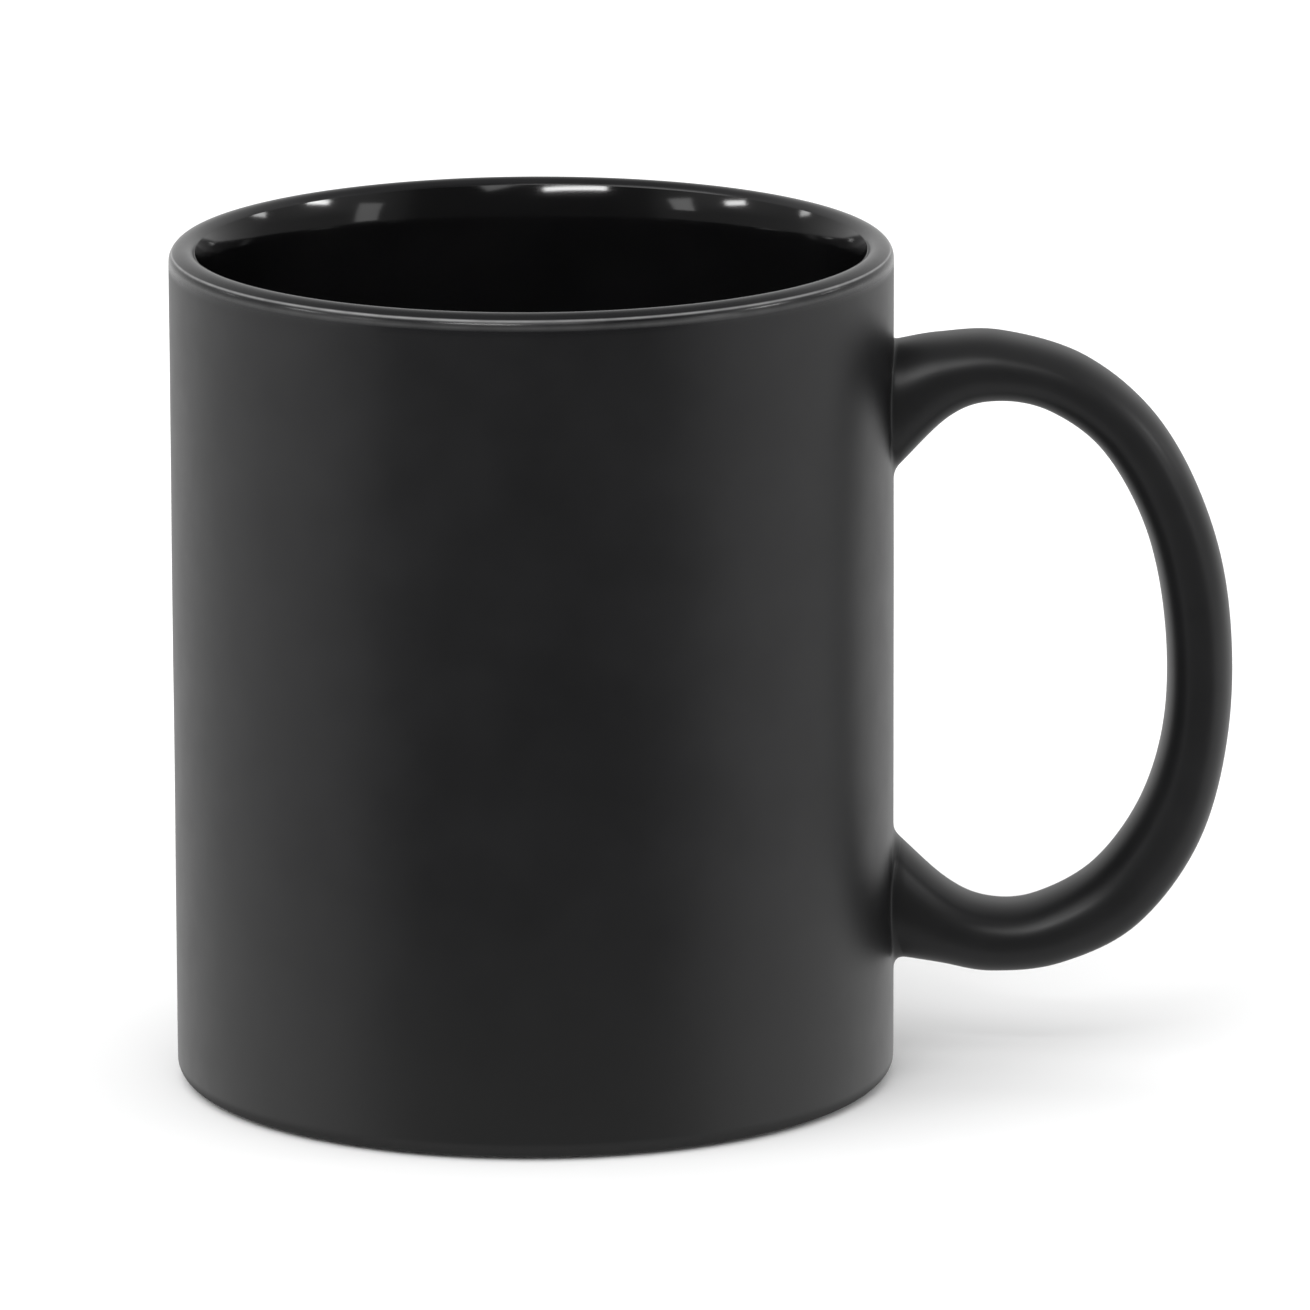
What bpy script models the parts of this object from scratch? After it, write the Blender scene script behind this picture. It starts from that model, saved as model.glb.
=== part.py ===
"""Ceramic mug: a straight-walled cup with one loop handle, built from the pieces it is made of.

The cup is one clay body standing on a bare foot ring. The handle is a second clay piece, coped to the round
wall and luted on with two pads of slip. Four coats of glaze cover the clay: a matte one on the outside and
over the rim, a gloss one inside, and a matte one each on the handle and in the recess under the floor.

Metres, +Z up. The mug stands on z = 0 and the origin is the middle of its footprint, handle included.
The cup's axis is CUP_X from it, and everything is modelled about that axis and parented to an empty on it.
"""

import math

import bmesh
import bpy
from mathutils import Vector

MM = 0.001

# Cup, measured over the glaze
BODY_RADIUS = 41.0 * MM
BODY_HEIGHT = 96.5 * MM
BASE_CORNER = 2.0 * MM  # radius between the wall and the underside
RIM_INNER_ROUND = 1.4 * MM
RIM_OUTER_ROUND = 1.7 * MM  # the two rounds meet at the rim's crest
LIP_ROUND = 9.5 * MM  # under the rim the inside leans in on a wide arc
LIP_LEAN = 28.0  # degrees from upright where that arc meets the rim's inner round
WELL_RADIUS = 36.7 * MM  # inner wall where the floor fillet starts: the wall thickens downwards
FLOOR_TOP = 6.6 * MM
FLOOR_FILLET = 9.0 * MM

# Foot: a bare clay ring, a little prouder than the glaze around it, with a recess inside it
FOOT_OUTER_RADIUS = 37.4 * MM
FOOT_INNER_RADIUS = 33.2 * MM
FOOT_PROUD = 0.2 * MM
FOOT_CHAMFER = 0.25 * MM
RECESS_RADIUS = 31.2 * MM
RECESS_DEPTH = 1.5 * MM

# Glaze coats, and the gap that touching solids keep
COAT = 0.4 * MM
GAP = 0.3 * MM
CLAY_INSET = COAT + GAP

# Handle, from the upper root round to the lower one, in millimetres about the cup's axis:
# outer edge (x, z), finger-side edge (x, z) and width
HANDLE_STATIONS = (
    ((41.0, 85.0), (41.0, 70.3), 13.6),
    ((46.2, 85.8), (47.3, 76.5), 12.6),
    ((53.4, 85.9), (52.5, 78.2), 12.2),
    ((62.9, 82.9), (58.6, 77.0), 12.0),
    ((71.0, 75.9), (64.8, 72.2), 12.0),
    ((76.5, 65.5), (69.7, 63.0), 11.8),
    ((79.2, 53.8), (71.9, 51.9), 11.8),
    ((79.2, 39.8), (71.8, 40.6), 11.8),
    ((76.0, 26.9), (69.1, 31.3), 12.0),
    ((69.0, 17.1), (63.9, 24.0), 12.0),
    ((60.2, 12.6), (57.3, 20.2), 12.2),
    ((52.2, 11.7), (51.9, 19.8), 12.2),
    ((46.2, 12.7), (47.1, 22.0), 12.6),
    ((41.0, 13.5), (41.0, 27.7), 13.6),
)
HANDLE_REACH = 79.6 * MM
SECTION_POWER = 2.3  # the handle's section is a superellipse, a little squarer than an oval

# Slip joints, between the clay wall and the handle's coped ends
SLIP_INNER_RADIUS = BODY_RADIUS - CLAY_INSET + GAP
SLIP_OUTER_RADIUS = BODY_RADIUS + 0.25 * MM
COPE_RADIUS = SLIP_OUTER_RADIUS + GAP
SLIP_SPREAD = 0.9 * MM  # how far the slip runs out over the wall around the root

CUP_X = (BODY_RADIUS - HANDLE_REACH) / 2
CREST_RADIUS = BODY_RADIUS - RIM_OUTER_ROUND

# Mesh density
TURN_STEPS = 48
ARC_STEPS = 4
SECTION_POINTS = 16
STEPS_PER_STATION = 2
CAP_RINGS = 3
WELD = 0.001 * MM
SMOOTH_ANGLE = math.radians(40)


def clear_scene():
    for item in list(bpy.data.objects):
        bpy.data.objects.remove(item, do_unlink=True)


def finish_material(name, colour, roughness):
    material = bpy.data.materials.new(name)
    material.use_nodes = True
    shader = material.node_tree.nodes["Principled BSDF"]
    shader.inputs["Base Color"].default_value = (*colour, 1.0)
    shader.inputs["Roughness"].default_value = roughness
    shader.inputs["Metallic"].default_value = 0.0
    return material


def place(name, bm, material, parent):
    """Turn a bmesh into a named object with outward faces, smooth shading and one material."""
    bmesh.ops.remove_doubles(bm, verts=bm.verts, dist=WELD)
    bmesh.ops.recalc_face_normals(bm, faces=bm.faces)
    mesh = bpy.data.meshes.new(name)
    bm.to_mesh(mesh)
    bm.free()
    mesh.shade_smooth()
    mesh.set_sharp_from_angle(angle=SMOOTH_ANGLE)
    if material:
        mesh.materials.append(material)
    item = bpy.data.objects.new(name, mesh)
    item.parent = parent
    bpy.context.collection.objects.link(item)
    return item


def arc(centre_r, centre_z, radius, start_degrees, end_degrees):
    """Points of an arc in the (radius, height) plane, ends included."""
    points = []
    for step in range(ARC_STEPS + 1):
        angle = math.radians(start_degrees + (end_degrees - start_degrees) * step / ARC_STEPS)
        points.append((centre_r + radius * math.cos(angle), centre_z + radius * math.sin(angle)))
    return points


def outside(inset):
    """The cup's outside, from under the base corner over the rim to the inner wall, moved inwards by inset."""
    corner_r, corner_z = BODY_RADIUS - BASE_CORNER, FOOT_PROUD + BASE_CORNER
    points = [(FOOT_OUTER_RADIUS + GAP, FOOT_PROUD + inset)]
    points += arc(corner_r, corner_z, BASE_CORNER - inset, -90, 0)
    points += arc(CREST_RADIUS, BODY_HEIGHT - RIM_OUTER_ROUND, RIM_OUTER_ROUND - inset, 0, 90)
    points += arc(CREST_RADIUS, BODY_HEIGHT - RIM_INNER_ROUND, RIM_INNER_ROUND - inset, 90, 180 - LIP_LEAN)[1:]
    return points


def inside(inset):
    """The cup's inside, from under the rim's inner round to the middle of the floor, moved into the clay."""
    lean = math.radians(LIP_LEAN)
    lip_r = CREST_RADIUS + (LIP_ROUND - RIM_INNER_ROUND) * math.cos(lean)
    lip_z = BODY_HEIGHT - RIM_INNER_ROUND - (LIP_ROUND - RIM_INNER_ROUND) * math.sin(lean)
    well_r, well_z = WELL_RADIUS - FLOOR_FILLET, FLOOR_TOP + FLOOR_FILLET
    gap_turn = math.degrees(GAP / LIP_ROUND)
    points = arc(lip_r, lip_z, LIP_ROUND - inset, 180 - LIP_LEAN + gap_turn, 180)
    points += arc(well_r, well_z, FLOOR_FILLET + inset, 0, -90)
    points.append((0.0, FLOOR_TOP - inset))
    return points


def turned(name, outline, material, parent):
    """A solid turned about the cup's axis from an outline of (radius, height) points.

    An outline with its ends on the axis is left open there; any other one is closed into a ring.
    """
    bm = bmesh.new()
    corners = [bm.verts.new((radius, 0.0, height)) for radius, height in outline]
    pairs = list(zip(corners, corners[1:]))
    if outline[0][0] > 0:
        pairs.append((corners[-1], corners[0]))
    edges = [bm.edges.new(pair) for pair in pairs]
    bmesh.ops.spin(
        bm, geom=corners + edges, cent=(0, 0, 0), axis=(0, 0, 1),
        angle=math.tau, steps=TURN_STEPS, use_merge=True,
    )
    return place(name, bm, material, parent)


def cup_body(material, parent):
    """Clay wall and floor, with the bare foot ring and the recess inside it."""
    recess_z = RECESS_DEPTH + CLAY_INSET
    foot = [
        (0.0, recess_z),
        (RECESS_RADIUS, recess_z),
        (FOOT_INNER_RADIUS - FOOT_CHAMFER, FOOT_CHAMFER),
        (FOOT_INNER_RADIUS, 0.0),
        (FOOT_OUTER_RADIUS - FOOT_CHAMFER, 0.0),
        (FOOT_OUTER_RADIUS, FOOT_CHAMFER),
        (FOOT_OUTER_RADIUS, FOOT_PROUD + CLAY_INSET),
    ]
    return turned("cup_body", foot + outside(CLAY_INSET)[1:] + inside(CLAY_INSET), material, parent)


def outer_glaze(material, parent, root_cutters):
    """Matte coat on the outside, from the foot up over the rim, open where the handle's roots pass."""
    coat = turned("outer_glaze", outside(0.0) + outside(COAT)[::-1], material, parent)
    for cutter in root_cutters:
        opening = coat.modifiers.new(cutter.name, "BOOLEAN")
        opening.operation = "DIFFERENCE"
        opening.solver = "EXACT"
        opening.object = cutter
    return coat


def inner_glaze(material, parent):
    """Gloss coat that lines the cup from under the rim's inner round to the floor."""
    return turned("inner_glaze", inside(0.0) + inside(COAT)[::-1], material, parent)


def base_glaze(material, parent):
    """Thin disc of glaze in the recess under the floor."""
    radius = RECESS_RADIUS - GAP
    outline = [
        (0.0, RECESS_DEPTH),
        (radius - COAT / 2, RECESS_DEPTH),
        (radius, RECESS_DEPTH + COAT / 2),
        (radius, RECESS_DEPTH + COAT),
        (0.0, RECESS_DEPTH + COAT),
    ]
    return turned("base_glaze", outline, material, parent)


def smooth_stations():
    """HANDLE_STATIONS in metres, with more in between on a Catmull-Rom curve."""
    rows = [Vector((*outer, *inner, width)) * MM for outer, inner, width in HANDLE_STATIONS]
    rows = [2 * rows[0] - rows[1]] + rows + [2 * rows[-1] - rows[-2]]
    stations = []
    for before, start, end, after in zip(rows, rows[1:], rows[2:], rows[3:]):
        for step in range(STEPS_PER_STATION):
            t = step / STEPS_PER_STATION
            stations.append(0.5 * (
                2 * start + (end - before) * t
                + (2 * before - 5 * start + 4 * end - after) * t**2
                + (3 * start - 3 * end + after - before) * t**3
            ))
    stations.append(rows[-2])
    return stations


def section(station, inset):
    """The handle's section at a station, as points round a superellipse that is inset all round."""
    outer = Vector((station[0], 0.0, station[1]))
    inner = Vector((station[2], 0.0, station[3]))
    middle = (outer + inner) / 2
    across = (outer - inner).normalized()
    half_depth = (outer - inner).length / 2 - inset
    half_width = station[4] / 2 - inset
    points = []
    for step in range(SECTION_POINTS):
        angle = math.tau * step / SECTION_POINTS
        c, s = math.cos(angle), math.sin(angle)
        depth = math.copysign(abs(c) ** (2 / SECTION_POWER), c) * half_depth
        width = math.copysign(abs(s) ** (2 / SECTION_POWER), s) * half_width
        points.append(middle + across * depth + Vector((0.0, width, 0.0)))
    return points


def on_wall(points, radius):
    """The points slid along X onto a cylinder about the cup's axis."""
    return [Vector((math.sqrt(radius**2 - point.y**2), point.y, point.z)) for point in points]


def handle_loops(inset):
    """The handle's sections along its length, with both ends coped to the wall."""
    loops = [section(station, inset) for station in smooth_stations()]
    loops[0] = on_wall(loops[0], COPE_RADIUS)
    loops[-1] = on_wall(loops[-1], COPE_RADIUS)
    return loops


def skin(bm, loops):
    """Quads between successive loops of vertices, which all have the same count."""
    for near, far in zip(loops, loops[1:]):
        for index in range(len(near)):
            after = (index + 1) % len(near)
            bm.faces.new((near[index], near[after], far[after], far[index]))


def add_loops(bm, loops):
    return [[bm.verts.new(point) for point in loop] for loop in loops]


def cap_loops(loop, radius):
    """Loops that close a loop on the wall with a cap as round as the wall, ending in one point."""
    centre = sum(loop, Vector()) / len(loop)
    rings = []
    for ring in range(1, CAP_RINGS + 1):
        share = 1 - ring / CAP_RINGS
        rings.append(on_wall([centre + (point - centre) * share for point in loop], radius))
    return rings


def handle(material, parent):
    """Clay loop of the handle, solid, inside its coat of glaze."""
    loops = handle_loops(CLAY_INSET)
    start_cap = cap_loops(loops[0], COPE_RADIUS)[::-1]
    end_cap = cap_loops(loops[-1], COPE_RADIUS)
    bm = bmesh.new()
    skin(bm, add_loops(bm, start_cap + loops + end_cap))
    return place("handle", bm, material, parent)


def handle_glaze(material, parent):
    """Matte sleeve of glaze on the handle, open at both roots."""
    bm = bmesh.new()
    outer = add_loops(bm, handle_loops(0.0))
    inner = add_loops(bm, handle_loops(COAT))
    skin(bm, outer + inner[::-1] + outer[:1])
    return place("handle_glaze", bm, material, parent)


def root_section(end, spread):
    """The outline of one root of the handle where it meets the wall, spread outwards."""
    return section(smooth_stations()[end], -spread)


def slip_joint(name, end, material, parent):
    """Pad of slip between the wall and a root, wider on the wall than under the handle."""
    wall_side = on_wall(root_section(end, SLIP_SPREAD), SLIP_INNER_RADIUS)
    handle_side = on_wall(root_section(end, 0.0), SLIP_OUTER_RADIUS)
    start_cap = cap_loops(wall_side, SLIP_INNER_RADIUS)[::-1]
    end_cap = cap_loops(handle_side, SLIP_OUTER_RADIUS)
    bm = bmesh.new()
    skin(bm, add_loops(bm, start_cap + [wall_side, handle_side] + end_cap))
    return place(name, bm, material, parent)


def root_cutter(name, end, parent):
    """Straight prism along X, a gap larger than the slip all round."""
    outline = root_section(end, SLIP_SPREAD + GAP)
    loops = []
    for x in (BODY_RADIUS - 10 * MM, BODY_RADIUS + 5 * MM):
        loops.append([Vector((x, point.y, point.z)) for point in outline])
    bm = bmesh.new()
    rings = add_loops(bm, loops)
    skin(bm, rings)
    for ring in rings:
        bm.faces.new(ring)
    cutter = place(name, bm, None, parent)
    cutter.hide_render = True
    cutter.display_type = "WIRE"
    return cutter


def build():
    clear_scene()
    axis = bpy.data.objects.new("cup_axis", None)
    axis.location = (CUP_X, 0.0, 0.0)
    bpy.context.collection.objects.link(axis)

    cutters = [root_cutter("upper_root_cutter", 0, axis), root_cutter("lower_root_cutter", -1, axis)]
    cup_body(finish_material("cup_clay", (0.62, 0.58, 0.52), 0.85), axis)
    handle(finish_material("handle_clay", (0.62, 0.58, 0.52), 0.85), axis)
    slip_joint("upper_slip_joint", 0, finish_material("upper_slip", (0.58, 0.54, 0.48), 0.9), axis)
    slip_joint("lower_slip_joint", -1, finish_material("lower_slip", (0.58, 0.54, 0.48), 0.9), axis)
    outer_glaze(finish_material("matte_black_outside", (0.013, 0.013, 0.014), 0.42), axis, cutters)
    handle_glaze(finish_material("matte_black_handle", (0.013, 0.013, 0.014), 0.42), axis)
    base_glaze(finish_material("matte_black_base", (0.013, 0.013, 0.014), 0.42), axis)
    inner_glaze(finish_material("gloss_black_inside", (0.004, 0.004, 0.004), 0.06), axis)


build()
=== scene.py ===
"""Looks of the ceramic mug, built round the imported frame.

Every coat of glaze, the clay and the two luted joints get a fine mesh in the place of their plain solid. The
clay inside the handle stays the plain solid, because its coat covers it. Metres, +Z up, in the frame's axes.
"""

import math

import bmesh
import bpy
from mathutils import Matrix, Vector, noise


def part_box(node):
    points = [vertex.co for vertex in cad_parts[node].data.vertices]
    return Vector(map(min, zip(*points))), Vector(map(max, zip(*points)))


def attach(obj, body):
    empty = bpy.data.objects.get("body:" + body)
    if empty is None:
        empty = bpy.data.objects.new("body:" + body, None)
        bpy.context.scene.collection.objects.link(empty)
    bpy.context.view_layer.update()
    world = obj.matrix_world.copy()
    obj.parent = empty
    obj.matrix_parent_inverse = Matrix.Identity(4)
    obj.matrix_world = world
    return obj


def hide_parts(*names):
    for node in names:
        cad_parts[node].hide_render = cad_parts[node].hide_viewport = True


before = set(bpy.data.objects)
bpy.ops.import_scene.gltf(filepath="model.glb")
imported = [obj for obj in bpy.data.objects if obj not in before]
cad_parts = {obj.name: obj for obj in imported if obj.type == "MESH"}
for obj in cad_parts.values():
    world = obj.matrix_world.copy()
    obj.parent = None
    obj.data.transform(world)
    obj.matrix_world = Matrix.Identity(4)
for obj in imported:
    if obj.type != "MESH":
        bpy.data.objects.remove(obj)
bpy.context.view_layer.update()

MM = 0.001

# Cup, read from the frame
coat_lo, coat_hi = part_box("outer_glaze")
liner_lo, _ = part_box("inner_glaze")
recess_lo, recess_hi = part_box("base_glaze")
BODY_RADIUS = (coat_hi.y - coat_lo.y) / 2
CUP_X = (coat_hi.x + coat_lo.x) / 2
RIM_TOP = coat_hi.z
FOOT_PROUD = coat_lo.z
COAT = recess_hi.z - recess_lo.z
RECESS_DEPTH = recess_lo.z
RECESS_RADIUS = (recess_hi.y - recess_lo.y) / 2
FLOOR_TOP = liner_lo.z + COAT

# Cup, the sizes that the frame's boxes don't give
BASE_CORNER = 2.0 * MM
RIM_INNER_ROUND = 1.4 * MM
RIM_OUTER_ROUND = 1.7 * MM  # the two rounds meet at the rim's crest
CREST_RADIUS = BODY_RADIUS - RIM_OUTER_ROUND
LIP_ROUND = 9.5 * MM  # under the rim the inside leans in on a wide arc
LIP_LEAN = 28.0  # degrees from upright where that arc meets the rim's inner round
WELL_RADIUS = 36.7 * MM
FLOOR_FILLET = 9.0 * MM
FOOT_OUTER_RADIUS = 37.4 * MM
FOOT_INNER_RADIUS = 33.2 * MM
FOOT_ROUND = 0.25 * MM
FOOT_BAND = 0.3 * MM  # bare clay between the ring's edge and the coat around it
FOOT_STEP = (0.1 * MM, 0.15 * MM)  # out from the ring and up into the coat, where the clay leaves the ring
RECESS_MARGIN = 0.6 * MM  # bare clay round the recess's coat
CLAY_INSET = 0.9 * COAT  # the clay reaches into the coats, so that no gap shows at their edges

# The gloss coat's rolled edge, which laps over the end of the matte coat
BEAD_PROUD = 0.05 * MM
BEAD_FADE = 1.2 * MM  # how far down the lip the bead fades into the coat
BEAD_TUCK = (0.12 * MM, 0.02 * MM)  # how far into the wall and down the bead's end is tucked

# Handle, from the upper root round to the lower one, in millimetres about the cup's axis:
# outer edge (x, z), finger-side edge (x, z) and width
HANDLE_STATIONS = (
    ((41.0, 85.0), (41.0, 70.3), 13.6),
    ((46.2, 85.8), (47.3, 76.5), 12.6),
    ((53.4, 85.9), (52.5, 78.2), 12.2),
    ((62.9, 82.9), (58.6, 77.0), 12.0),
    ((71.0, 75.9), (64.8, 72.2), 12.0),
    ((76.5, 65.5), (69.7, 63.0), 11.8),
    ((79.2, 53.8), (71.9, 51.9), 11.8),
    ((79.2, 39.8), (71.8, 40.6), 11.8),
    ((76.0, 26.9), (69.1, 31.3), 12.0),
    ((69.0, 17.1), (63.9, 24.0), 12.0),
    ((60.2, 12.6), (57.3, 20.2), 12.2),
    ((52.2, 11.7), (51.9, 19.8), 12.2),
    ((46.2, 12.7), (47.1, 22.0), 12.6),
    ((41.0, 13.5), (41.0, 27.7), 13.6),
)
SECTION_POWER = 2.3  # the handle's section is a superellipse, a little squarer than an oval

# Fillets round the roots: how far they run at the handle's outer edge, its sides and its finger side
UPPER_FILLET = (0.5 * MM, 0.45 * MM, 1.1 * MM)
LOWER_FILLET = (1.6 * MM, 0.45 * MM, 1.1 * MM)
FILLET_TAIL = 0.3 * MM  # how far a fillet goes on out of sight, past both of its edges
FILLET_LIFT = 0.004 * MM  # how far its foot stands off the wall
FILLET_SPAN = 3  # stations of the handle that a fillet can reach along
EMBED = 0.08 * MM  # how far pieces are let into each other where they meet

# Mesh density
TURN_STEPS = 240
ARC_STEPS = 14
COAT_EDGE_STEPS = 8
WALL_STEPS = 26
SECTION_POINTS = 64
STEPS_PER_STATION = 10
FILLET_STEPS = 10
WELD = 0.001 * MM
SMOOTH_ANGLE = math.radians(50)

# Glaze on the cup: a paler ring round the rim's outer round and a fainter band under it, both painted
# highlights, how much smoother the rim is than the wall, the paler tone near the foot, which is a painted
# reflection of the floor, and how much rougher the edge there is
# Painted highlight: a paler ring on the rim's outer round
RIM_HIGHLIGHT_RADIUS = 40.66 * MM
RIM_HIGHLIGHT_WIDTH = 0.12 * MM
RIM_HIGHLIGHT_TONE = 0.24
# Painted highlight: a fainter paler band under the rim
UNDER_RIM_HIGHLIGHT_HEIGHT = RIM_TOP - 1.45 * MM
UNDER_RIM_HIGHLIGHT_WIDTH = 0.42 * MM
UNDER_RIM_HIGHLIGHT_TONE = 0.055
HIGHLIGHT_STRENGTHS = (0.4, 1.2)  # how strongly the two rings show, from spot to spot
HIGHLIGHT_SPOT_SIZE = 3 * MM
RIM_SMOOTHER = 0.16
RIM_STARTS = (2.6 * MM, 1.8 * MM)  # below the rim's top: where its glaze begins, and where it is all there
# Painted reflection of the floor: a paler tone on the lower wall, near the foot
FLOOR_REFLECTION_TONE = 0.0115
FLOOR_REFLECTION_ENDS = (0.05, 0.35)  # shares of the mug's height between which that tone fades out
FOOT_DRIER = 0.45
DRY_ENDS = (0.6 * MM, 2.2 * MM)  # heights between which the dry edge fades out

# Surfaces: the lighter and the darker tone of each, its least and greatest roughness, and the size of its
# clouds and the size and depth of its relief
MATTE_TONES = ((0.0088, 0.0088, 0.0096), (0.0062, 0.0062, 0.0069))
HANDLE_TONES = ((0.0106, 0.0106, 0.0112), (0.0076, 0.0076, 0.0081))
MATTE_ROUGHNESS = (0.34, 0.42)
MATTE_CLOUDS = 9 * MM
SHEEN_CLOUDS = 5 * MM
RIPPLE_SIZE = 3.5 * MM
RIPPLE_DEPTH = 0.012 * MM
TOOTH_SIZE = 0.22 * MM
TOOTH_DEPTH = 0.0015 * MM
GLOSS_TONES = ((0.0056, 0.0056, 0.0058), (0.0038, 0.0038, 0.0040))
GLOSS_ROUGHNESS = (0.07, 0.11)
GLOSS_CLOUDS = 12 * MM
POUR_SIZE = 6 * MM
POUR_DEPTH = 0.015 * MM
CLAY_TONES = ((0.66, 0.61, 0.54), (0.50, 0.45, 0.38))
HANDLE_CLAY_TONES = ((0.64, 0.6, 0.53), (0.5, 0.46, 0.4))
CLAY_ROUGHNESS = (0.78, 0.92)
GRAIN_SIZE = 0.9 * MM
GRAIN_DEPTH = 0.03 * MM

# Hand-made unevenness: how far the surfaces wander, and over what length
WANDER = 0.035 * MM
WANDER_LENGTH = 24 * MM
WANDER_DETAIL = (0.4, 2.7)  # share and frequency of a finer wander on top

# Studio walls, as levels of grey by turn (0 at the camera's side, 1 behind the mug) and by climb (0 straight
# down, 0.5 level, 1 straight up)
WALLS = ((0.0, 0.05), (0.24, 0.09), (0.35, 0.7), (0.45, 0.85), (0.7, 0.85), (0.86, 0.9), (1.0, 0.95))
WALL_SHARE = ((0.46, 1.0), (0.52, 0.78), (0.62, 0.8), (0.72, 0.64), (0.8, 0.42), (1.0, 0.3))
LOW_CLIMB = ((0.47, 0.0), (0.5, 1.0), (0.58, 1.0), (0.7, 0.0))
LOW_TURN = ((0.22, 0.0), (0.32, 1.0), (0.6, 1.0), (0.8, 0.0))
LOW_LEVEL = 0.25  # the dimmer low part of the side walls, where LOW_CLIMB and LOW_TURN meet
ZENITH = ((0.8, 0.0), (0.92, 1.0))
ZENITH_LEVEL = 0.27
GROUND = ((0.29, 1.0), (0.38, 0.0))
GROUND_LEVEL = 0.42
FILL = 1.15  # the even light on everything, beside what the walls and softboxes show in the glaze
BACKDROP = 1.0  # what the camera sees behind the mug
FLOOR_TONE = 0.92
FLOOR_RADIUS = 12.0

# Softboxes: azimuth (0 at the camera's side, 90 at +X), elevation, width and height in degrees, and radiance
SOFTBOX_DISTANCE = 3.0
SOFTBOXES = {
    "overhead": (-30, 51, 75, 16, 2.2),
    "front_strip": (-17, 35, 20, 2.6, 26),
    "left_strip": (-80, 24.5, 8, 2.4, 18),
    "right_strip": (84, 26, 9, 2.4, 24),
    "left_back_strip": (-113, 17, 5, 2.4, 6),
    "right_back_strip": (112, 18, 7, 2.4, 7),
    "right_window": (61, 16, 9, 20, 1.6),
    "left_window": (-57, 22, 8, 12, 2.2),
}

# Camera, about the cup's axis: how far in front and above the table, and which way it looks, in radians
CAMERA_BACK = 1455.5 * MM
CAMERA_UP = 386.5 * MM
CAMERA_PITCH = -0.2281
CAMERA_YAW = 0.0095
CAMERA_ROLL = -0.0038
SENSOR = 36.0
LENS = 360.7


# Meshes

def finish_mesh(name, bm, material):
    """Turn a bmesh into a named piece with outward faces, smooth shading and one material."""
    bmesh.ops.remove_doubles(bm, verts=bm.verts, dist=WELD)
    bmesh.ops.delete(bm, geom=[edge for edge in bm.edges if not edge.link_faces], context="EDGES")
    bmesh.ops.recalc_face_normals(bm, faces=bm.faces)
    mesh = bpy.data.meshes.new(name)
    bm.to_mesh(mesh)
    bm.free()
    mesh.shade_smooth()
    mesh.set_sharp_from_angle(angle=SMOOTH_ANGLE)
    mesh.materials.append(material)
    piece = bpy.data.objects.new(name, mesh)
    bpy.context.scene.collection.objects.link(piece)
    return piece


def skin(bm, loops):
    """Quads between successive closed loops of points, which all have the same count."""
    rows = [[bm.verts.new(point) for point in loop] for loop in loops]
    for near, far in zip(rows, rows[1:]):
        for index in range(len(near)):
            after = (index + 1) % len(near)
            bm.faces.new((near[index], near[after], far[after], far[index]))


def lofted(name, loops, material, ring=False):
    """A solid skinned over loops of points. A ring's last loop is joined to its first."""
    bm = bmesh.new()
    skin(bm, loops + loops[:1] if ring else loops)
    return finish_mesh(name, bm, material)


def arc(centre_r, centre_z, radius, start_degrees, end_degrees, steps=ARC_STEPS):
    """Points of an arc in the (radius, height) plane, ends included."""
    points = []
    for step in range(steps + 1):
        angle = math.radians(start_degrees + (end_degrees - start_degrees) * step / steps)
        points.append((centre_r + radius * math.cos(angle), centre_z + radius * math.sin(angle)))
    return points


def between(start, end, steps):
    """Points on the straight line between two points, without its ends."""
    return [
        tuple(a + (b - a) * step / steps for a, b in zip(start, end))
        for step in range(1, steps)
    ]


def wander(point):
    """Slow unevenness of a hand-finished surface, between about -1 and 1, the same on every run."""
    share, frequency = WANDER_DETAIL
    return noise.noise(point / WANDER_LENGTH) + share * noise.noise(point / WANDER_LENGTH * frequency)


def turned(name, outline, material, wanders=False):
    """A solid turned about the cup's axis from an outline of (radius, height) points.

    An outline that starts on the axis ends there too. Any other one is closed into a ring.
    """
    loops = []
    for radius, height in outline:
        loop = []
        for step in range(TURN_STEPS):
            angle = math.tau * step / TURN_STEPS
            out = Vector((math.cos(angle), math.sin(angle), 0.0))
            swell = 0.0
            if wanders:
                swell = WANDER * wander(out * BODY_RADIUS + Vector((0.0, 0.0, height)))
            loop.append(out * (radius + swell) + Vector((CUP_X, 0.0, height)))
        loops.append(loop)
    return lofted(name, loops, material, ring=outline[0][0] > 0)


# The cup's outline

def outside(inset, edge_radius):
    """The cup's outside, from under the base corner up over the rim's rounds, moved inwards by inset."""
    corner_r, corner_z = BODY_RADIUS - BASE_CORNER, FOOT_PROUD + BASE_CORNER
    corner = arc(corner_r, corner_z, BASE_CORNER - inset, -90, 0)
    outer_round = arc(CREST_RADIUS, RIM_TOP - RIM_OUTER_ROUND, RIM_OUTER_ROUND - inset, 0, 90)
    inner_round = arc(CREST_RADIUS, RIM_TOP - RIM_INNER_ROUND, RIM_INNER_ROUND - inset, 90, 180 - LIP_LEAN)
    points = [(edge_radius, FOOT_PROUD + inset)] + corner
    points += between(corner[-1], outer_round[0], WALL_STEPS)
    points += outer_round + inner_round[1:]
    return points


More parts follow.
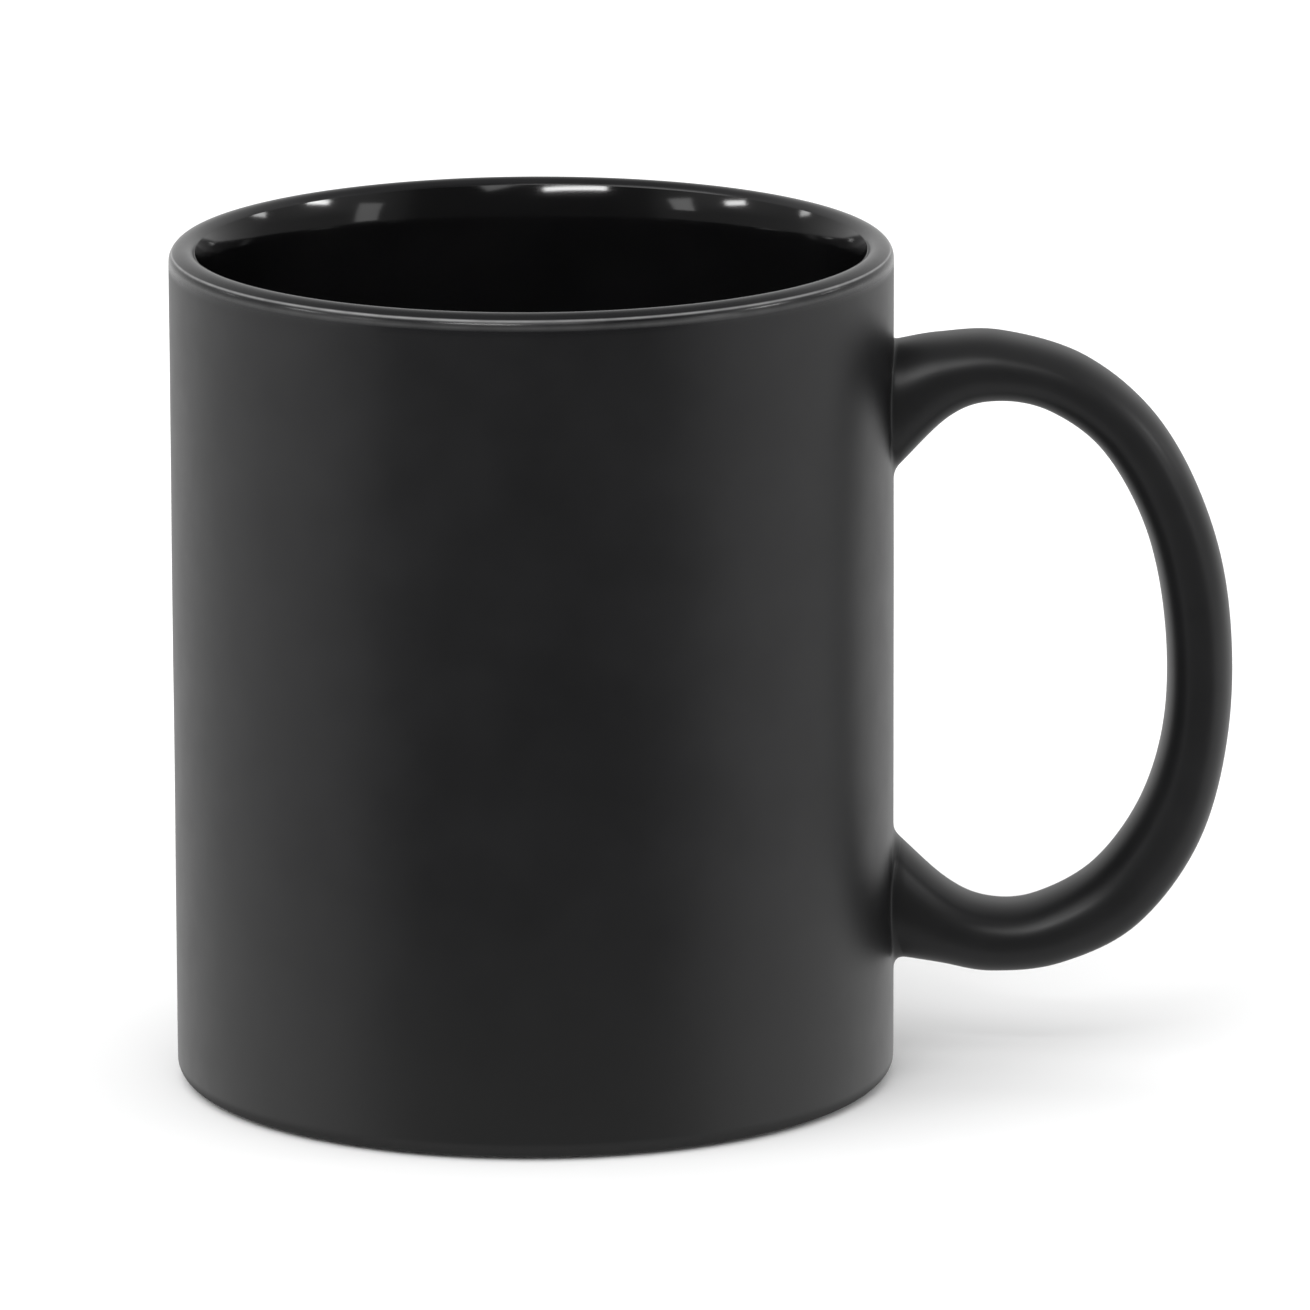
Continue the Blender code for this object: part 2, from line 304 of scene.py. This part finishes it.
def inside(inset):
    """The cup's inside, from the rim's inner round to the middle of the floor, moved into the clay."""
    lean = math.radians(LIP_LEAN)
    lip_r = CREST_RADIUS + (LIP_ROUND - RIM_INNER_ROUND) * math.cos(lean)
    lip_z = RIM_TOP - RIM_INNER_ROUND - (LIP_ROUND - RIM_INNER_ROUND) * math.sin(lean)
    well_r, well_z = WELL_RADIUS - FLOOR_FILLET, FLOOR_TOP + FLOOR_FILLET
    lip = arc(lip_r, lip_z, LIP_ROUND - inset, 180 - LIP_LEAN, 180, 2 * ARC_STEPS)
    well = arc(well_r, well_z, FLOOR_FILLET + inset, 0, -90)
    return lip + between(lip[-1], well[0], WALL_STEPS) + well + [(0.0, FLOOR_TOP - inset)]


def rolled_edge(outline):
    """An inside outline with its top edge raised into a bead that fades away down the lip."""
    start = outline[0]
    lean = math.radians(LIP_LEAN)
    points = [(start[0] + BEAD_TUCK[0], start[1] - BEAD_TUCK[1])]
    for radius, height in outline:
        down = start[1] - height
        proud = BEAD_PROUD * max(0.0, 1 - down / BEAD_FADE) ** 2
        points.append((radius - proud * math.cos(lean), height + proud * math.sin(lean)))
    return points


def outer_coat(material):
    """Matte coat on the outside and over the rim, with its edge above the bare foot ring."""
    edge = FOOT_OUTER_RADIUS + FOOT_BAND
    return turned("outer_coat", outside(0.0, edge) + outside(COAT, edge)[::-1], material, wanders=True)


def inner_coat(material):
    """Gloss coat that lines the cup."""
    return turned("inner_coat", rolled_edge(inside(0.0)) + inside(COAT)[::-1], material)


def clay_body(material):
    """Clay wall and floor under the coats, with the bare foot ring that the mug stands on."""
    ceiling = RECESS_DEPTH + CLAY_INSET
    foot = [(0.0, ceiling), (RECESS_RADIUS + RECESS_MARGIN, ceiling)]
    foot += arc(FOOT_INNER_RADIUS + FOOT_ROUND, FOOT_ROUND, FOOT_ROUND, 180, 270)
    foot += arc(FOOT_OUTER_RADIUS - FOOT_ROUND, FOOT_ROUND, FOOT_ROUND, 270, 360)
    foot.append((FOOT_OUTER_RADIUS + FOOT_STEP[0], FOOT_PROUD + FOOT_STEP[1]))
    outer = outside(CLAY_INSET, FOOT_OUTER_RADIUS + FOOT_BAND * 2)
    return turned("clay_body", foot + outer + inside(CLAY_INSET)[1:], material)


def recess_coat(material):
    """Thin disc of glaze in the recess under the floor, with a rounded edge."""
    outline = [(0.0, RECESS_DEPTH)]
    outline += arc(RECESS_RADIUS - COAT / 2, RECESS_DEPTH + COAT / 2, COAT / 2, -90, 90, COAT_EDGE_STEPS)
    outline.append((0.0, RECESS_DEPTH + COAT))
    return turned("recess_coat", outline, material)


# The handle

def smooth_stations():
    """HANDLE_STATIONS in metres, with more in between on a Catmull-Rom curve."""
    rows = [Vector((*outer, *inner, width)) * MM for outer, inner, width in HANDLE_STATIONS]
    rows = [2 * rows[0] - rows[1]] + rows + [2 * rows[-1] - rows[-2]]
    stations = []
    for before, start, end, after in zip(rows, rows[1:], rows[2:], rows[3:]):
        for step in range(STEPS_PER_STATION):
            t = step / STEPS_PER_STATION
            stations.append(0.5 * (
                2 * start + (end - before) * t
                + (2 * before - 5 * start + 4 * end - after) * t**2
                + (3 * start - 3 * end + after - before) * t**3
            ))
    stations.append(rows[-2])
    return stations


def section(station, inset):
    """The handle's section at a station, as points about the cup's axis, moved inwards by inset."""
    outer = Vector((station[0], 0.0, station[1]))
    inner = Vector((station[2], 0.0, station[3]))
    middle = (outer + inner) / 2
    across = (outer - inner).normalized()
    half_depth = (outer - inner).length / 2 - inset
    half_width = station[4] / 2 - inset
    points = []
    for step in range(SECTION_POINTS):
        angle = math.tau * step / SECTION_POINTS
        c, s = math.cos(angle), math.sin(angle)
        depth = math.copysign(abs(c) ** (2 / SECTION_POWER), c) * half_depth
        width = math.copysign(abs(s) ** (2 / SECTION_POWER), s) * half_width
        points.append(middle + across * depth + Vector((0.0, width, 0.0)))
    return points


def on_wall(points, radius):
    """The points slid along X onto a cylinder about the cup's axis."""
    return [Vector((math.sqrt(radius**2 - point.y**2), point.y, point.z)) for point in points]


def placed(loop):
    """A loop about the cup's axis, moved to where the cup is."""
    return [point + Vector((CUP_X, 0.0, 0.0)) for point in loop]


def handle_loops(inset, radius):
    """The handle's sections along its length, with both ends coped to a cylinder of that radius."""
    loops = [section(station, inset) for station in smooth_stations()]
    loops[0] = on_wall(loops[0], radius)
    loops[-1] = on_wall(loops[-1], radius)
    return loops


def handle_coat(material):
    """Matte sleeve of glaze on the handle, let into the wall at both roots."""
    outer = handle_loops(0.0, BODY_RADIUS - EMBED)
    for loop in outer[1:-1]:
        centre = sum(loop, Vector()) / len(loop)
        for point in loop:
            point += (point - centre).normalized() * WANDER * wander(point)
    inner = handle_loops(COAT, BODY_RADIUS - EMBED)
    return lofted("handle_coat", [placed(loop) for loop in outer + inner[::-1]], material, ring=True)


def along(loops, index, distance):
    """The point at that distance from the first loop, along the handle's surface."""
    for near, far in zip(loops, loops[1:]):
        step = (far[index] - near[index]).length
        if step >= distance:
            return near[index].lerp(far[index], distance / step)
        distance -= step
    return loops[-1][index].copy()


def root_loops(stations, inset):
    """The handle's sections from a root on, moved inwards by inset, with the first one coped to the wall."""
    loops = [section(station, inset) for station in stations]
    loops[0] = on_wall(loops[0], BODY_RADIUS)
    return loops


def root_fillet(name, runs, upper, material):
    """Smooth fillet of glazed slip between the wall and one root of the handle.

    Seen along its section, it leaves the wall, curves up to the handle, and closes out of sight inside both.
    """
    outer_run, side_run, inner_run = runs
    stations = smooth_stations() if upper else smooth_stations()[::-1]
    stations = stations[:FILLET_SPAN * STEPS_PER_STATION]
    loops, sunk_loops = root_loops(stations, 0.0), root_loops(stations, EMBED)
    deep_root = on_wall(section(stations[0], EMBED * 2), BODY_RADIUS - EMBED)
    sections = []
    for index, corner in enumerate(loops[0]):
        c = math.cos(math.tau * index / SECTION_POINTS)
        run = side_run + (outer_run - side_run) * max(c, 0) ** 2 + (inner_run - side_run) * max(-c, 0) ** 2
        tail = on_wall(section(stations[0], -run - FILLET_TAIL), BODY_RADIUS - EMBED)[index]
        foot = on_wall(section(stations[0], -run), BODY_RADIUS + FILLET_LIFT)[index]
        head = along(loops, index, run)
        points = [tail]
        for step in range(FILLET_STEPS + 1):
            t = step / FILLET_STEPS
            points.append(foot.lerp(corner, t).lerp(corner.lerp(head, t), t))
        sections.append(points + [along(sunk_loops, index, run + FILLET_TAIL), deep_root[index]])
    return lofted(name, [placed(loop) for loop in zip(*sections)], material, ring=True)


# Materials

def new_material(name):
    """A new material, with its node tree and its shader."""
    material = bpy.data.materials.new(name)
    material.use_nodes = True
    tree = material.node_tree
    return material, tree, tree.nodes["Principled BSDF"]


def position(tree):
    """Where a point is on the object, in metres."""
    return tree.nodes.new("ShaderNodeTexCoord").outputs["Object"]


def speckle(tree, place, size, detail=3.0, roughness=0.5):
    """Noise with features of about that size, from 0 to 1."""
    node = tree.nodes.new("ShaderNodeTexNoise")
    node.inputs["Scale"].default_value = 1 / size
    node.inputs["Detail"].default_value = detail
    node.inputs["Roughness"].default_value = roughness
    tree.links.new(place, node.inputs["Vector"])
    return node.outputs["Fac"]


def ramp(tree, value, stops):
    """Colours along a value: stops are (value, colour)."""
    node = tree.nodes.new("ShaderNodeValToRGB")
    elements = node.color_ramp.elements
    elements[0].position, elements[0].color = stops[0][0], (*stops[0][1], 1.0)
    elements[1].position, elements[1].color = stops[-1][0], (*stops[-1][1], 1.0)
    for place, colour in stops[1:-1]:
        elements.new(place).color = (*colour, 1.0)
    tree.links.new(value, node.inputs["Fac"])
    return node.outputs["Color"]


def spread(tree, value, low, high):
    """A value from 0 to 1, as one from low to high."""
    node = tree.nodes.new("ShaderNodeMapRange")
    node.inputs["To Min"].default_value = low
    node.inputs["To Max"].default_value = high
    tree.links.new(value, node.inputs["Value"])
    return node.outputs["Result"]


def math_node(tree, operation, *values):
    """The result of a sum on values that are each a socket or a number."""
    node = tree.nodes.new("ShaderNodeMath")
    node.operation = operation
    for socket, value in zip(node.inputs, values):
        if isinstance(value, bpy.types.NodeSocket):
            tree.links.new(value, socket)
        else:
            socket.default_value = value
    return node.outputs[0]


def squared(tree, value):
    return math_node(tree, "MULTIPLY", value, value)


def separated(tree, vector):
    node = tree.nodes.new("ShaderNodeSeparateXYZ")
    tree.links.new(vector, node.inputs[0])
    return node.outputs


def blended(tree, share, colour, level):
    """A colour that turns into a grey level as the share goes from 0 to 1."""
    mix = tree.nodes.new("ShaderNodeMix")
    mix.data_type = "RGBA"
    tree.links.new(share, mix.inputs["Factor"])
    tree.links.new(colour, mix.inputs["A"])
    mix.inputs["B"].default_value = (level, level, level, 1.0)
    return mix.outputs["Result"]


def faded(tree, colour, share):
    """A colour times a grey share."""
    mix = tree.nodes.new("ShaderNodeMix")
    mix.data_type = "RGBA"
    mix.blend_type = "MULTIPLY"
    mix.inputs["Factor"].default_value = 1.0
    tree.links.new(colour, mix.inputs["A"])
    tree.links.new(share, mix.inputs["B"])
    return mix.outputs["Result"]


def grey_ramp(tree, value, stops):
    """Levels of grey along a value: stops are (value, level)."""
    return ramp(tree, value, tuple((place, (level, level, level)) for place, level in stops))


def band(tree, value, middle, width):
    """1 where a value is in the middle of a band, down to 0 at that width from it."""
    off = math_node(tree, "ABSOLUTE", math_node(tree, "SUBTRACT", value, middle))
    return grey_ramp(tree, math_node(tree, "DIVIDE", off, width), ((0.0, 1.0), (1.0, 0.0)))


def bump(tree, height, depth, below=None):
    """Relief of that depth in metres, laid over another relief."""
    node = tree.nodes.new("ShaderNodeBump")
    node.inputs["Strength"].default_value = 1.0
    node.inputs["Distance"].default_value = depth
    tree.links.new(height, node.inputs["Height"])
    if below:
        tree.links.new(below, node.inputs["Normal"])
    return node.outputs["Normal"]


def glaze_on_cup(tree, place, colour, sheen):
    """Tone and roughness of the matte glaze where it is on the cup.

    Near the foot it is a shade paler, a painted reflection of the floor, and dry at the edge there. On the
    rim it is smoother, and carries painted highlights: a paler ring on its outer round and a fainter band
    under it.
    """
    x, y, z = separated(tree, place)
    x = math_node(tree, "SUBTRACT", x, CUP_X)
    radius = math_node(tree, "SQRT", math_node(tree, "ADD", squared(tree, x), squared(tree, y)))
    height = math_node(tree, "DIVIDE", z, RIM_TOP)
    # The foot share paints the floor's reflection on the lower wall as a paler tone
    foot = grey_ramp(tree, height, ((FLOOR_REFLECTION_ENDS[0], 1.0), (FLOOR_REFLECTION_ENDS[1], 0.0)))
    dry = grey_ramp(tree, height, ((DRY_ENDS[0] / RIM_TOP, 1.0), (DRY_ENDS[1] / RIM_TOP, 0.0)))
    rim = grey_ramp(tree, height, ((1 - RIM_STARTS[0] / RIM_TOP, 0.0), (1 - RIM_STARTS[1] / RIM_TOP, 1.0)))
    # The ring share is a painted highlight on the rim's outer round
    ring = math_node(tree, "MULTIPLY", band(tree, radius, RIM_HIGHLIGHT_RADIUS, RIM_HIGHLIGHT_WIDTH), rim)
    # The edge share is a painted highlight in a band under the rim
    edge = band(tree, z, UNDER_RIM_HIGHLIGHT_HEIGHT, UNDER_RIM_HIGHLIGHT_WIDTH)
    # How strongly the painted highlights show, from spot to spot
    highlight_spots = spread(tree, speckle(tree, place, HIGHLIGHT_SPOT_SIZE, detail=4.0), *HIGHLIGHT_STRENGTHS)
    colour = blended(tree, foot, colour, FLOOR_REFLECTION_TONE)
    colour = blended(tree, math_node(tree, "MULTIPLY", ring, highlight_spots), colour, RIM_HIGHLIGHT_TONE)
    colour = blended(tree, math_node(tree, "MULTIPLY", edge, highlight_spots), colour, UNDER_RIM_HIGHLIGHT_TONE)
    sheen = math_node(tree, "SUBTRACT", sheen, math_node(tree, "MULTIPLY", rim, RIM_SMOOTHER))
    sheen = math_node(tree, "ADD", sheen, math_node(tree, "MULTIPLY", dry, FOOT_DRIER))
    return colour, sheen


def matte_glaze(name, tones, on_cup=False):
    """Satin black glaze: faint cloudiness in tone and sheen, over a slow ripple and a fine tooth."""
    light, dark = tones
    material, tree, shader = new_material(name)
    place = position(tree)
    colour = ramp(tree, speckle(tree, place, MATTE_CLOUDS, detail=4.0), ((0.3, dark), (0.7, light)))
    sheen = speckle(tree, place, SHEEN_CLOUDS, detail=5.0, roughness=0.6)
    sheen = spread(tree, sheen, *MATTE_ROUGHNESS)
    if on_cup:
        colour, sheen = glaze_on_cup(tree, place, colour, sheen)
    tree.links.new(colour, shader.inputs["Base Color"])
    tree.links.new(sheen, shader.inputs["Roughness"])
    ripple = bump(tree, speckle(tree, place, RIPPLE_SIZE, detail=1.0), RIPPLE_DEPTH)
    tooth = bump(tree, speckle(tree, place, TOOTH_SIZE, detail=2.0), TOOTH_DEPTH, below=ripple)
    tree.links.new(tooth, shader.inputs["Normal"])
    return material


def gloss_glaze(name, tones):
    """Gloss black glaze, with the slow waviness of a poured coat."""
    light, dark = tones
    material, tree, shader = new_material(name)
    place = position(tree)
    cloud = speckle(tree, place, GLOSS_CLOUDS, detail=3.0)
    waves = bump(tree, speckle(tree, place, POUR_SIZE, detail=1.0), POUR_DEPTH)
    tree.links.new(ramp(tree, cloud, ((0.3, dark), (0.7, light))), shader.inputs["Base Color"])
    tree.links.new(spread(tree, cloud, *GLOSS_ROUGHNESS), shader.inputs["Roughness"])
    tree.links.new(waves, shader.inputs["Normal"])
    return material


def fired_clay(name, tones):
    """Bare stoneware: warm off-white with sandy grain."""
    light, dark = tones
    material, tree, shader = new_material(name)
    place = position(tree)
    grain = speckle(tree, place, GRAIN_SIZE, detail=8.0, roughness=0.7)
    tree.links.new(ramp(tree, grain, ((0.3, dark), (0.6, light))), shader.inputs["Base Color"])
    tree.links.new(spread(tree, grain, *CLAY_ROUGHNESS), shader.inputs["Roughness"])
    tree.links.new(bump(tree, grain, GRAIN_DEPTH), shader.inputs["Normal"])
    return material


# Studio

def aim(item, target):
    """Turn an object so that its -Z axis points at a place."""
    item.rotation_mode = "QUATERNION"
    item.rotation_quaternion = (target - item.location).to_track_quat("-Z", "Y")


def softbox(name, azimuth, elevation, width, height, radiance):
    """A rectangular light that faces the mug, out of the camera's sight."""
    a, e = math.radians(azimuth), math.radians(elevation)
    centre = Vector((CUP_X, 0.0, RIM_TOP / 2))
    light = bpy.data.lights.new(name, "AREA")
    light.shape = "RECTANGLE"
    light.size = 2 * SOFTBOX_DISTANCE * math.tan(math.radians(width / 2))
    light.size_y = 2 * SOFTBOX_DISTANCE * math.tan(math.radians(height / 2))
    light.energy = radiance * math.pi * light.size * light.size_y
    item = bpy.data.objects.new(name, light)
    item.location = centre + SOFTBOX_DISTANCE * Vector((
        math.sin(a) * math.cos(e), -math.cos(a) * math.cos(e), math.sin(e),
    ))
    aim(item, centre)
    item.visible_camera = False
    bpy.context.scene.collection.objects.link(item)


def studio_world():
    """Pale walls beside and behind the mug, dimmer with height, a dark front, and a dim zenith and ground."""
    world = bpy.data.worlds.new("studio")
    world.use_nodes = True
    bpy.context.scene.world = world
    tree = world.node_tree
    tree.nodes.clear()
    x, y, z = separated(tree, tree.nodes.new("ShaderNodeTexCoord").outputs["Generated"])
    turn = math_node(tree, "ARCTAN2", x, math_node(tree, "MULTIPLY", y, -1.0))
    turn = math_node(tree, "DIVIDE", math_node(tree, "ABSOLUTE", turn), math.pi)
    climb = math_node(tree, "DIVIDE", math_node(tree, "ARCSINE", z), math.pi)
    climb = math_node(tree, "ADD", climb, 0.5)
    walls = faded(tree, grey_ramp(tree, turn, WALLS), grey_ramp(tree, climb, WALL_SHARE))
    low = math_node(tree, "MULTIPLY", grey_ramp(tree, climb, LOW_CLIMB), grey_ramp(tree, turn, LOW_TURN))
    walls = blended(tree, low, walls, LOW_LEVEL)
    walls = blended(tree, grey_ramp(tree, climb, ZENITH), walls, ZENITH_LEVEL)
    walls = blended(tree, grey_ramp(tree, climb, GROUND), walls, GROUND_LEVEL)
    rays = tree.nodes.new("ShaderNodeLightPath").outputs
    walls = blended(tree, rays["Is Diffuse Ray"], walls, FILL)
    walls = blended(tree, rays["Is Camera Ray"], walls, BACKDROP)
    background = tree.nodes.new("ShaderNodeBackground")
    tree.links.new(walls, background.inputs["Color"])
    output = tree.nodes.new("ShaderNodeOutputWorld")
    tree.links.new(background.outputs[0], output.inputs["Surface"])


def studio_floor():
    """Wide pale floor, which doesn't show in the glaze: that reflects the studio's ground instead."""
    material, tree, shader = new_material("studio_floor")
    shader.inputs["Base Color"].default_value = (FLOOR_TONE, FLOOR_TONE, FLOOR_TONE, 1.0)
    shader.inputs["Roughness"].default_value = 1.0
    shader.inputs["Specular IOR Level"].default_value = 0.0
    bm = bmesh.new()
    bmesh.ops.create_circle(bm, cap_ends=True, segments=96, radius=FLOOR_RADIUS)
    floor = finish_mesh("studio_floor", bm, material)
    floor.visible_glossy = False


def studio():
    """Walls, floor and softboxes round the mug."""
    studio_world()
    studio_floor()
    for name, values in SOFTBOXES.items():
        softbox(name, *values)


def camera():
    """Camera with a long lens, about 1.5 m in front of the mug and 0.4 m up, looking down at it."""
    forward = Vector((
        math.sin(CAMERA_YAW) * math.cos(CAMERA_PITCH),
        math.cos(CAMERA_YAW) * math.cos(CAMERA_PITCH),
        math.sin(CAMERA_PITCH),
    ))
    level = Vector((math.cos(CAMERA_YAW), -math.sin(CAMERA_YAW), 0.0))
    upright = level.cross(forward)
    right = level * math.cos(CAMERA_ROLL) + upright * math.sin(CAMERA_ROLL)
    up = upright * math.cos(CAMERA_ROLL) - level * math.sin(CAMERA_ROLL)
    place = Vector((CUP_X, -CAMERA_BACK, CAMERA_UP))
    lens = bpy.data.cameras.new("camera")
    lens.sensor_width = SENSOR
    lens.lens = LENS
    item = bpy.data.objects.new("camera", lens)
    item.matrix_world = Matrix((right, up, -forward)).transposed().to_4x4()
    item.matrix_world.translation = place
    bpy.context.scene.collection.objects.link(item)
    bpy.context.scene.camera = item


# The mug

def fit(piece, slot, *nodes):
    """Put a piece on the mug: it rides on the one body and stands for its CAD nodes."""
    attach(piece, "root")
    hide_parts(*nodes)


clay = fired_clay("bare_stoneware", CLAY_TONES)
matte = matte_glaze("matte_black_glaze", MATTE_TONES, on_cup=True)
satin = matte_glaze("satin_black_glaze", HANDLE_TONES)
gloss = gloss_glaze("gloss_black_glaze", GLOSS_TONES)

fit(clay_body(clay), "bare_clay", "cup_body")
fit(outer_coat(matte), "matte_glaze", "outer_glaze")
fit(inner_coat(gloss), "gloss_glaze", "inner_glaze")
fit(recess_coat(matte), "matte_glaze", "base_glaze")
fit(handle_coat(satin), "matte_glaze", "handle_glaze")
fit(root_fillet("upper_root_fillet", UPPER_FILLET, True, satin), "matte_glaze", "upper_slip_joint")
fit(root_fillet("lower_root_fillet", LOWER_FILLET, False, satin), "matte_glaze", "lower_slip_joint")

handle_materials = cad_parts["handle"].data.materials
handle_materials.clear()
handle_materials.append(fired_clay("handle_stoneware", HANDLE_CLAY_TONES))

studio()
camera()
bpy.context.scene.view_settings.view_transform = "Standard"
